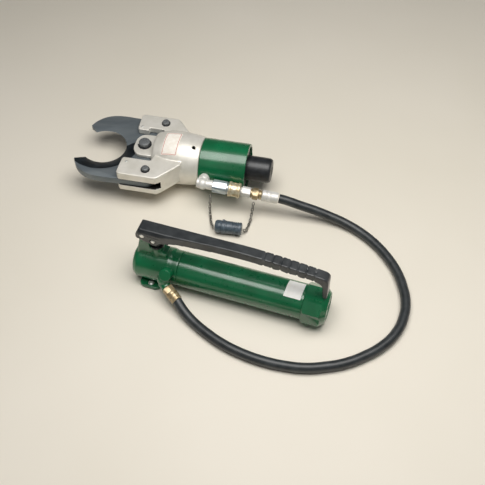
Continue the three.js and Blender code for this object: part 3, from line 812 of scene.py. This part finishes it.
def makeClip(name, node, body, centre, low, inner, outer, mouth):  # open retaining ring with two lugs
    x, y = centre
    opening, high = clip["opening"], low + clip["thick"]
    points = arc(x, y, outer, mouth + opening, mouth + 360 - opening, 48)
    points += arc(x, y, inner, mouth + 360 - opening, mouth + opening, 48)
    piece = plate(name, points, low, high)
    middle = (inner + outer) / 2
    for side in (-1, 1):
        turn = math.radians(mouth + side * (opening + 6))
        spot = (x + middle * math.cos(turn), y + middle * math.sin(turn))
        unite(piece, rod("lug", (*spot, low), (*spot, high), (outer - inner) / 2 + 0.2, 24))
    roundEdges(piece, clip["edge"], 2, 40)
    return settle(piece, headPlace, "black_steel", node, body=body)


def makePins():
    top, radius = clevis["halfZ"], pins["centreRadius"]
    makePin("centrePin", "centre_pin", "ram", (0, 0), -top - 3, top + pins["centreProud"], radius)
    makeClip("centreClip", "centre_pin_clip", "ram", (0, 0), top + 0.4, radius + 0.2, radius + 2.1, 168)
    x, y = casting["bolt"]
    short, tall = casting["earShort"], casting["earTall"]
    proud, radius = pins["boltProud"], pins["boltRadius"]
    for side, word, under, over in ((-1, "near", short, tall), (1, "far", tall, short)):
        low, high = 0.5 - under, over + proud
        makePin(word + "Bolt", word + "_pivot_bolt", "base", (x, side * y), low, high, radius)
    for side, word, over, mouth in ((-1, "near", tall, 95), (1, "far", short, 120)):
        ring = (over + 0.35, radius + 0.15, radius + 1.5, mouth)
        makeClip(word + "Clip", word + "_bolt_clip", "base", (x, side * y), *ring)
    for word, spot, height in (("near", (-17, -54), tall), ("far", (-20, 52), short)):
        foot = height - 7.5
        profile = [(foot, 0), (foot, 2.2), (height + 0.1, 2.2), (height + 0.5, 1.6), (height + 0.6, 0)]
        turning = {"axis": "Z", "centre": (*spot, 0), "steps": 32, "shade": 30}
        spun(word + "Dowel", profile, headPlace, "bright_steel", word + "_ear_dowel", **turning)


# the cylinder, its end ring and the spring cap
cylinder = {
    "shell": [
        (105.35, 34), (105.35, 40.8), (106.4, 42), (185.4, 42), (186.6, 41.4), (187, 40.4), (187, 37),
        (180, 36.6), (178, 34),
    ],
    "ring": [
        (178.4, 22.4), (178.4, 33.6), (184, 33.6), (184, 30), (182.6, 29), (182.6, 25), (184, 24),
        (184, 22.4),
    ],
    "cap": [
        (176, 19), (176, 22), (181, 22), (222, 22), (225.6, 21.4), (228, 19.8), (229, 17.4), (229, 8),
        (228.2, 7.2), (228.2, 0), (225, 0), (225, 19),
    ],
}


def makeCylinder():
    shell = turned("cylinderShell", cylinder["shell"], steps=128)
    x, _, z = elbowCentre
    cut(shell, rod("port", (x, -60, z), (x, -20, z), 5, 32))
    settle(shadeByAngle(shell, 28), headPlace, "green_enamel", "cylinder_tube")
    spun("endRing", cylinder["ring"], headPlace, "black_steel", "cylinder_end_ring")
    spun("springCap", cylinder["cap"], headPlace, "black_steel", "spring_cap")


# the blank label on the barrel, with its thin red frame
barrelLabel = {
    "x": (38, 66), "y": (-34, 14), "lift": 0.32, "thick": 0.3, "margin": 1.3, "line": 0.9, "slant": 2,
    "film": "cream_label",
}


def wrapFilm(name, facts, radiusAt):
    (x0, x1), (y0, y1) = facts["x"], facts["y"]
    low, high = facts["margin"], facts["margin"] + facts["line"]
    edgesX = {x for band in (0, low, high) for x in (x0 + band, x1 - band)}
    edgesY = {y for band in (0, low, high) for y in (y0 + band, y1 - band)}
    columns = sorted(edgesX | {x0 + (x1 - x0) * i / 8 for i in range(2, 7)})
    rows = sorted(edgesY | {y0 + (y1 - y0) * i / 28 for i in range(3, 26)})
    acrossX, acrossY = len(columns) - 1, len(rows) - 1
    deselect()
    bpy.ops.mesh.primitive_grid_add(x_subdivisions=acrossX, y_subdivisions=acrossY, size=2)
    piece = named(name)
    piece.data.materials.append(finishes[facts["film"]])
    if facts["line"]:
        piece.data.materials.append(finishes["border"])
    for face in piece.data.polygons:
        column = min(int((face.center.x + 1) / 2 * acrossX), acrossX - 1)
        row = min(int((face.center.y + 1) / 2 * acrossY), acrossY - 1)
        x = (columns[column] + columns[column + 1]) / 2
        y = (rows[row] + rows[row + 1]) / 2
        depth = min(x - x0, x1 - x, y - y0, y1 - y)
        face.material_index = 1 if low < depth < high else 0
    for point in piece.data.vertices:
        x = columns[round((point.co.x + 1) / 2 * acrossX)]
        y = rows[round((point.co.y + 1) / 2 * acrossY)]
        x += facts["slant"] * (y - y0) / (y1 - y0)
        radius = radiusAt(x)
        point.co = (x, radius * math.sin(y / radius), radius * math.cos(y / radius))
    applied(piece, "SOLIDIFY", thickness=facts["thick"], offset=1)
    return shadeByAngle(piece, 40)


def barrelRadius(x):
    points = casting["barrel"]
    for (xa, ra), (xb, rb) in zip(points, points[1:]):
        if xa <= x <= xb and xb > xa:
            return ra + (rb - ra) * (x - xa) / (xb - xa) + barrelLabel["lift"]


def makeBarrelLabel():
    piece = wrapFilm("barrelFilm", barrelLabel, barrelRadius)
    return settle(piece, headPlace, "cream_label", "barrel_label")


makeCasting()
print("casting made")
makeBlade("nearBlade", "near_jaw", True)
makeBlade("farBlade", "far_jaw", False)
makeClevis()
makePins()
makeCylinder()
makeBarrelLabel()
print("cutting head made")


# fittings between the cylinder and the hose
fitting = {
    "elbowRadius": 10.4,
    "neckRadius": 8.5,
    "bodyFlats": 21.4,
    "dents": 6,
    "collar": [
        (45.5, 9.95), (45.5, 12.4), (46.6, 13.4), (49.4, 13.4), (50.2, 12.5), (52, 12.2), (59.5, 12.2),
        (61, 12.5), (61.8, 13.4), (65.2, 13.4), (66.5, 12.2), (66.5, 9.95),
    ],
    "sleeve": [(42, 5), (42, 10.4), (43.2, 9.55), (61.6, 9.55), (62, 9.2), (62, 7.7), (50, 7.7), (50, 5)],
    "nipple": [(51, 3.5), (51, 6.7), (51.6, 7.1), (69, 7.1), (69, 5), (84, 5), (84, 3.5)],
    "adapterEnds": [
        (84.3, 3.5), (84.3, 7.4), (84.9, 7.9), (86.6, 7.9), (87, 7.2), (99, 7.2), (99.6, 8.1), (102.6, 8.1),
        (104, 7.4), (104, 3.5),
    ],
    "ferrule": [
        (104.3, 3.5), (104.3, 8.6), (105.2, 9.6), (107, 10.1), (111, 10.1), (111.8, 9.5), (113, 9.5),
        (113.8, 10.1), (118, 10.1), (118.8, 9.5), (120, 9.5), (120.8, 10.0), (125, 9.9), (130.6, 9.6),
        (132, 9.2), (132.6, 8.4), (132.6, 3.5),
    ],
}


def makeElbow():
    x, y, z = elbowCentre
    outward = fittingTilt @ Vector((1, 0, 0))
    piece = ball("portElbow", elbowCentre, fitting["elbowRadius"])
    unite(
        piece,
        rod("neck", elbowCentre, (x, -38, z), fitting["neckRadius"]),
        rod("outlet", elbowCentre, elbowCentre + outward * 18, fitting["neckRadius"]),
        rod("boss", elbowCentre - outward * 10.3, elbowCentre, 8.6),
        rod("rib", (x, -50, z), (x, -44, z), 9.8),
    )
    cut(piece, rod("skin", (90, 0, 0), (190, 0, 0), 42.35, 128))
    castSurface(piece, 0.5, 9)
    unite(piece, rod("stub", (x, -48, z), (x, -36, z), 4.6, 32))
    shadeByAngle(piece, 45)
    return settle(piece, headPlace, "bright_steel", "port_elbow", finish="zincSteel")


def bored(piece, start, end, radius):
    return cut(piece, rod("throughHole", (start, 0, 0), (end, 0, 0), radius, 48))


def makeCoupler():
    body = bored(hexBar("couplerBody", 18.4, 42.2, fitting["bodyFlats"], 1.1), 0, 60, 5)
    trimRound(body, 18.3, 42.4, 11.5)
    unite(body, turned("sleeve", fitting["sleeve"]))
    roundEdges(body, 0.4, 3, 30)
    settle(body, fittingPlace, "bright_steel", "coupler_body", finish="fittingSteel")

    collar = turned("couplerCollar", fitting["collar"])
    middle = Vector((56, 0, 0))
    for i in range(fitting["dents"]):
        turn = math.tau * i / fitting["dents"]
        inward = Vector((0, math.cos(turn), math.sin(turn)))
        cut(collar, rod("dent", middle + inward * 14, middle + inward * 10.6, 2.5, 24))
    shadeByAngle(collar, 28)
    settle(collar, fittingPlace, "brass", "coupler_collar", body="collar", finish="collarMetal")

    nipple = turned("couplerNipple", fitting["nipple"])
    flange = bored(hexBar("flange", 69, 84, 16.6, 0.8), 60, 90, 4.6)
    unite(nipple, trimRound(flange, 68.6, 84, 9.45))
    roundEdges(nipple, 0.25, 2, 30)
    settle(nipple, fittingPlace, "bright_steel", "coupler_nipple", finish="zincSteel")

    adapter = bored(hexBar("hoseAdapter", 88, 97.6, 18.4, 0.8), 80, 110, 4.6)
    unite(adapter, turned("ends", fitting["adapterEnds"]))
    trimRound(adapter, 84, 104.2, 10.45)
    settle(roundEdges(adapter, 0.25, 2, 30), fittingPlace, "brass", "hose_adapter")

    ferrule = fitting["ferrule"]
    spun("headFerrule", ferrule, fittingPlace, "bright_steel", "head_ferrule", finish="zincSteel")


# the two dust caps, screwed into one another
dust = {
    "cap": [
        (0.1, 0), (0.1, 8.4), (1.1, 9.6), (3.2, 11.0), (9.4, 11.1), (10.2, 10.4), (11.4, 10.4),
        (12.2, 11.9), (17.6, 11.9), (18.4, 11.1), (20, 11.1), (20, 8.7), (5, 8.7), (5, 0),
    ],
    "plug": [(6, 0), (6, 8.0), (20.3, 8.0), (20.3, 10.6), (20.9, 10.95), (30, 10.95)],
    "ribs": 4,
    "ribStart": 31,
    "ribPitch": 3.1,
}


def makeDustCaps():
    cap = turned("dustCap", dust["cap"])
    unite(cap, rod("lug", (15, 2, 9), (15, 2, 15.2), 2.3, 32), ball("lugTop", (15, 2, 13.4), 2.2))
    cap = settle(roundEdges(cap, 0.3, 2, 35), capPlace, "cap_steel", "dust_cap")
    profile = list(dust["plug"])
    for i in range(dust["ribs"]):
        start = dust["ribStart"] + i * dust["ribPitch"]
        end = start + dust["ribPitch"] - 0.4
        profile += [(start, 10.3), (start + 1.1, 10.3), (start + 1.5, 10.95), (end, 10.95)]
    profile += [(44.6, 10.9), (45.6, 10.2), (46, 9.2), (46, 0)]
    plug = spun("dustPlug", profile, capPlace, "cap_steel", "dust_plug")
    return cap, plug


makeElbow()
makeCoupler()
dustCap, dustPlug = makeDustCaps()
makeChain("leftChain", leftChainRoute, "left_chain")
makeChain("rightChain", rightChainRoute, "right_chain")
print("fittings, chains and dust caps made")


# hand pump: the head casting, its foot and screws
pumpCasting = {
    "body": [
        (0, 0), (0, 19), (1, 22), (3, 26), (9, 29.8), (62, 30), (65, 28.8), (78, 28.8), (78, 25.5),
        (92, 25.5), (92, 0),
    ],
    "tower": [
        (7, 10), (9, 40), (13.6, 60), (13.6, 78), (30.4, 78), (30.4, 45), (36, 42), (58, 39), (62, 10),
    ],
    "towerHalf": 9.7,
    "plungerX": 39.5,
    "voxel": 1.0,
    "rounds": 7,
}


def makePumpHead():
    half = pumpCasting["towerHalf"]
    pivotX, pivotZ = leverPivot
    plungerX = pumpCasting["plungerX"]
    piece = turned("pumpCasting", pumpCasting["body"])
    unite(
        piece,
        plate("tower", pumpCasting["tower"], -half, half, upright=True),
        rod("eye", (pivotX, -half, pivotZ), (pivotX, half, pivotZ), 8.6),
        rod("glandBoss", (plungerX, 0, 20), (plungerX, 0, 47), 11.2),
    )
    cut(
        piece,
        rod("glandSeat", (plungerX, 0, 47), (plungerX, 0, 55), 11.7),
        block("footFlat", (-10, -40, -60), (100, 40, -24.6)),
    )
    castSurface(piece, pumpCasting["voxel"], pumpCasting["rounds"])
    cut(
        piece,
        rod("pivotBore", (pivotX, -20, pivotZ), (pivotX, 20, pivotZ), 4.2, 48),
        rod("plungerBore", (plungerX, 0, -12), (plungerX, 0, 60), 9.4, 48),
        rod("valveBore", (30, 12, 4), (30, 40, 4), 5.4, 48),
    )
    shadeByAngle(piece, 40)
    return settle(piece, pumpPlace, "green_enamel", "pump_head")


foot = {"x": (14, 50), "y": 34, "low": -31, "high": -24.95, "corner": 9, "screws": (33, 26)}


def makeFoot():
    (x0, x1), y, corner = foot["x"], foot["y"], foot["corner"]
    left, right, reach = x0 + corner, x1 - corner, y - corner
    points = []
    for i, spot in enumerate(((right, reach), (left, reach), (left, -reach), (right, -reach))):
        points += arc(*spot, corner, 90 * i, 90 * i + 90, 10)
    piece = plate("footPlate", points, foot["low"], foot["high"])
    screwX, screwY = foot["screws"]
    for side in (-1, 1):
        cut(piece, rod("hole", (screwX, side * screwY, -40), (screwX, side * screwY, 0), 3.3, 40))
    roundEdges(piece, 1.1, 3, 40)
    settle(piece, pumpPlace, "green_enamel", "foot_bracket")
    profile = [(-30.5, 0), (-30.5, 2.7), (-24.7, 2.7), (-24.7, 5)]
    profile += [(-24.1, 5), (-23.2, 4.3), (-22.75, 3), (-22.7, 0)]
    for side, word in ((-1, "near"), (1, "far")):
        y, node = side * screwY, word + "_foot_screw"
        screw = turned("footScrew" + word.title(), profile, "Z", (screwX, y, 0), 40)
        cut(screw, block("driveSlot", (screwX - 4, y - 0.5, -23.6), (screwX + 4, y + 0.5, -20)))
        settle(shadeByAngle(screw, 30), pumpPlace, "bright_steel", node)


# the reservoir tube, its end cap and filler plug
reservoir = {
    "tube": [(78.4, 26), (78.4, 28.1), (79.2, 28.8), (283.4, 28.8), (283.95, 28.3), (283.95, 26)],
    "start": 284.3,
    "rear": 322,
    "flat": 31,
    "limit": [
        (284.3, 0), (284.3, 31.4), (287.4, 33.8), (311.5, 33.8), (320.4, 25.6), (321.6, 24.6), (322, 23.4),
        (322, 0),
    ],
}


def makeReservoir():
    tube = reservoir["tube"]
    spun("reservoirTube", tube, pumpPlace, "green_enamel", "reservoir_tube", steps=128)
    start, rear, flat = reservoir["start"], reservoir["rear"], reservoir["flat"]
    corner = flat / math.cos(math.pi / 8)
    middle = ((start + rear) / 2, 0, 0)
    deselect()
    bpy.ops.mesh.primitive_cylinder_add(vertices=8, radius=corner, depth=rear - start, location=middle)
    bpy.ops.transform.rotate(value=math.radians(22.5), orient_axis="Z", center_override=middle)
    bpy.ops.transform.rotate(value=math.radians(90), orient_axis="Y", center_override=middle)
    cap = placed("reservoirCap")
    keepInside(cap, turned("limit", reservoir["limit"], steps=128))
    cut(
        cap,
        rod("faceRecess", (rear - 0.8, 0, 0), (rear + 2, 0, 0), 19.5, 96, 20.3),
        rod("thread", (start - 20, 0, 0), (rear + 1, 0, 0), 5.5, 48),
    )
    spigot = turned("spigot", [(start - 14, 20), (start - 14, 25.4), (start + 1, 25.4), (start + 1, 20)])
    unite(cap, spigot)
    settle(roundEdges(cap, 0.9, 3, 24), pumpPlace, "green_enamel", "reservoir_cap")
    plug = rod("fillerPlug", (300, 0, 0), (320.6, 0, 0), 5, 48)
    cut(plug, hexBar("socket", 316, 325, 4.6, 0.1))
    settle(roundEdges(plug, 0.4, 2, 30), pumpPlace, "black_steel", "filler_plug", body="filler_plug")


# the lever handle
lever = {
    "half": 13.4,
    "plan": [(0, -20), (47, -20), (52, -13.4), (72, -11.4), (95, -10), (140, -8.6), (330, -8.6)],
    "waves": 4,
    "grooves": [216 + 13.2 * i for i in range(7)],
    "grooveDepth": 1.5,
    "grooveWidth": 1.3,
    "plungerPin": (39.5, 70),
    "cheekRadius": 10.2,
    "section": [
        (-13.5, 20), (-13.5, 84), (-8.8, 91.6), (-7, 94), (7, 94), (8.8, 91.6), (13.5, 84), (13.5, 20),
    ],
    "ridge": [(15, 79.4), (48, 76.6), (50, 77.8), (48, 79.4), (15, 82.0)],
    "voxel": 0.8,
    "rounds": 6,
}


def leverOutline():
    points = [(10.6, 72), (11, 79.5), (14.6, 88.4), (17.5, 90), (60, 90)]
    points += sweep((60, 90), (110, 91), (150, 93), (178, 93), 14)
    points += sweep((178, 93), (225, 92), (260, 88), (306, 81.8), 18)
    points += sweep((306, 81.8), (314, 80.6), (317.3, 77.5), (317.5, 70), 10)
    points += [(318, 36.5), (316.5, 34.2), (312.4, 34.2), (311, 36.5), (309.4, 56)]
    points += sweep((309.4, 56), (308.4, 66), (303, 68.5), (294, 70), 10)
    x, z = 294, 70
    for i in range(1, lever["waves"] + 1):
        nextX, nextZ = 294 - 22 * i, 70 + 1.6 * i
        points += sweep((x, z), (nextX + 15, nextZ + 2.6), (nextX + 7, nextZ - 2.8), (nextX, nextZ), 10)
        x, z = nextX, nextZ
    points += sweep((x, z), (178, 78), (130, 76), (80, 74), 16)
    points += [(62, 71)] + arc(*lever["plungerPin"], lever["cheekRadius"], -15, -140, 12)
    points += [(22, 66.5), (12.5, 69.6)]
    return points


def makeLever():
    half = lever["half"]
    piece = plate("leverCasting", leverOutline(), -half, half, upright=True)
    plan = lever["plan"] + [(x, -y) for x, y in reversed(lever["plan"])]
    keepInside(piece, plate("plan", plan, 20, 110))
    section = plate("section", lever["section"], 0, 330)
    section.data.transform(Matrix(((0, 0, 1, 0), (1, 0, 0, 0), (0, 1, 0, 0), (0, 0, 0, 1))))
    keepInside(piece, section)
    unite(piece, plate("ridge", lever["ridge"], -half - 0.8, half + 0.8, upright=True))
    pivotX, pivotZ = leverPivot
    cut(piece, block("channel", (-5, -10.2, 50), (53, 10.2, pivotZ + 8.9)))
    castSurface(piece, lever["voxel"], lever["rounds"])
    for point in piece.data.vertices:  # finger grooves round the grip
        for groove in lever["grooves"]:
            away = abs(point.co.x - groove)
            if away < 4 and point.co.z > 60:
                sink = lever["grooveDepth"] * math.exp(-((away / lever["grooveWidth"]) ** 2))
                inward = Vector((0, -point.co.y, 82 - point.co.z))
                point.co += inward.normalized() * sink
    slotPoints = slotOutline(leverPivot, lever["plungerPin"], 16.9, 19.5, 3.95, 14)
    cut(
        piece,
        rod("pivotHole", (pivotX, -20, pivotZ), (pivotX, 20, pivotZ), 4.15, 48),
        plate("pinSlot", slotPoints, -20, 20, upright=True),
    )
    shadeByAngle(piece, 45)
    return settle(piece, pumpPlace, "black_handle", "handle", body="handle")


# pins, plunger, gland and release valve
def makePumpPins():
    pivotX, pivotZ = leverPivot
    pinX, pinZ = lever["plungerPin"]
    for name, node, body, x, z, radius in (
        ("handlePin", "handle_pin", "base", pivotX, pivotZ, 4),
        ("plungerPin", "plunger_pin", "plunger", pinX, pinZ, 3.5),
    ):
        profile = [(-14.3, 0), (-14.3, radius - 0.8), (-13.5, radius)]
        profile += [(-x, r) for x, r in reversed(profile)]
        turning = {"axis": "Y", "centre": (x, 0, z), "steps": 48, "shade": 30}
        spun(name, profile, pumpPlace, "bright_steel", node, body, **turning)
    turning = {"axis": "Z", "centre": (pumpCasting["plungerX"], 0, 0), "steps": 64}
    profile = [(-6, 0), (-6, 5.6), (-5.4, 6.2), (77.2, 6.2), (78, 5.4), (78, 0)]
    plunger = turned("plungerRod", profile, **turning)
    cut(plunger, rod("pinHole", (pinX, -20, pinZ), (pinX, 20, pinZ), 3.8, 40))
    settle(shadeByAngle(plunger, 30), pumpPlace, "bright_steel", "plunger", body="plunger")
    profile = [
        (38.3, 6.5), (38.3, 9), (47.3, 9), (47.3, 10.4), (48, 11), (49.8, 11), (50.5, 10.2), (50.5, 6.5),
    ]
    spun("plungerGland", profile, pumpPlace, "black_steel", "plunger_gland", **turning)


valve = {"at": (30, 4), "ridges": 20, "crest": 9.9, "root": 9.2, "low": 31, "high": 42.3}


def makeValve():
    x, z = valve["at"]
    low, high = valve["low"], valve["high"]
    points = []
    for i in range(valve["ridges"]):
        middle = 360 / valve["ridges"] * i
        points += arc(x, z, valve["crest"], middle - 4.5, middle + 4.5, 2)
        points += arc(x, z, valve["root"], middle + 7.5, middle + 10.5, 1)
    knob = plate("valveKnob", points, low, high, upright=True)
    limit = [(low, 0), (low, 9), (low + 1, 10), (40.4, 10), (42.4, 8), (42.4, 0)]
    keepInside(knob, turned("limit", limit, "Y", (x, 0, z)))
    cut(knob, rod("dimple", (x, 41.6, z), (x, 44, z), 5, 48, 6))
    unite(knob, rod("stem", (x, 13, z), (x, 32, z), 5, 48))
    roundEdges(knob, 0.25, 2, 40)
    return settle(knob, pumpPlace, "black_steel", "release_valve", body="release_valve")


# outlet boss and the fitting into the hose
outlet = {
    "start": (58, -35.5, 1.5),
    "along": (32, -18.8, -12.5),
    "rise": 148.5,
    "ferrule": [
        (22.3, 0), (22.3, 8.2), (23, 9.0), (24.6, 9.5), (27.4, 9.5), (28, 8.9), (29, 8.9), (29.6, 9.5),
        (33, 9.5), (33.6, 8.9), (34.6, 8.9), (35.2, 9.4), (37.8, 9.3), (38.6, 8.6), (38.6, 0),
    ],
}


def makeOutlet():
    up = Matrix.Rotation(math.radians(outlet["rise"]), 4, "X") @ Vector((0, 1, 0))
    base = Vector((64, 0, 0))
    piece = rod("outletElbow", base + up * 20, base + up * 43.2, 10.5, 64, 9.9)
    start = Vector(outlet["start"])
    turn = Vector(outlet["along"]).normalized().to_track_quat("X", "Z").to_matrix().to_4x4()
    unite(
        piece,
        ball("joint", (60, -33, 7), 10.8),
        rod("spout", start, start + turn @ Vector((11.9, 0, 0)), 8.1),
    )
    cut(piece, rod("skin", (-5, 0, 0), (100, 0, 0), 30.3, 128))
    castSurface(piece, 0.6, 4)
    settle(shadeByAngle(piece, 50), pumpPlace, "green_enamel", "outlet_elbow")
    fittingsHere = pumpPlace @ Matrix.Translation(start * mm) @ turn
    nut = hexBar("pumpNut", 12.4, 22, 16.0, 0.8)
    trimRound(nut, 12.3, 22, 9.15)
    settle(roundEdges(nut, 0.25, 2, 30), fittingsHere, "brass", "pump_hose_nut")
    spun("pumpFerrule", outlet["ferrule"], fittingsHere, "brass", "pump_ferrule")


tubeLabel = {
    "x": (252, 279), "y": (-17, 15), "radius": 29.15, "thick": 0.3, "margin": 0, "line": 0, "slant": 2,
    "film": "white_label",
}


def makeTubeLabel():
    piece = wrapFilm("tubeFilm", tubeLabel, lambda x: tubeLabel["radius"])
    return settle(piece, pumpPlace, "white_label", "tube_label")


makePumpHead()
makeFoot()
makeReservoir()
makeLever()
print("pump castings made")
makePumpPins()
makeValve()
makeOutlet()
makeTubeLabel()
print("hand pump made")


# what stays hidden inside keeps its CAD shape and takes its finish
insides = {
    "rod_gland": "brass",
    "ram_rod": "bright_steel",
    "piston": "bright_steel",
    "piston_seal": "seal_rubber",
    "piston_nut": "bright_steel",
    "return_spring": "spring_steel",
    "suction_tube": "bright_steel",
    "suction_strainer": "brass",
}
for node, slotName in insides.items():
    materials = frame["nodes"][node].data.materials
    materials.clear()
    materials.append(finishes[slotName])
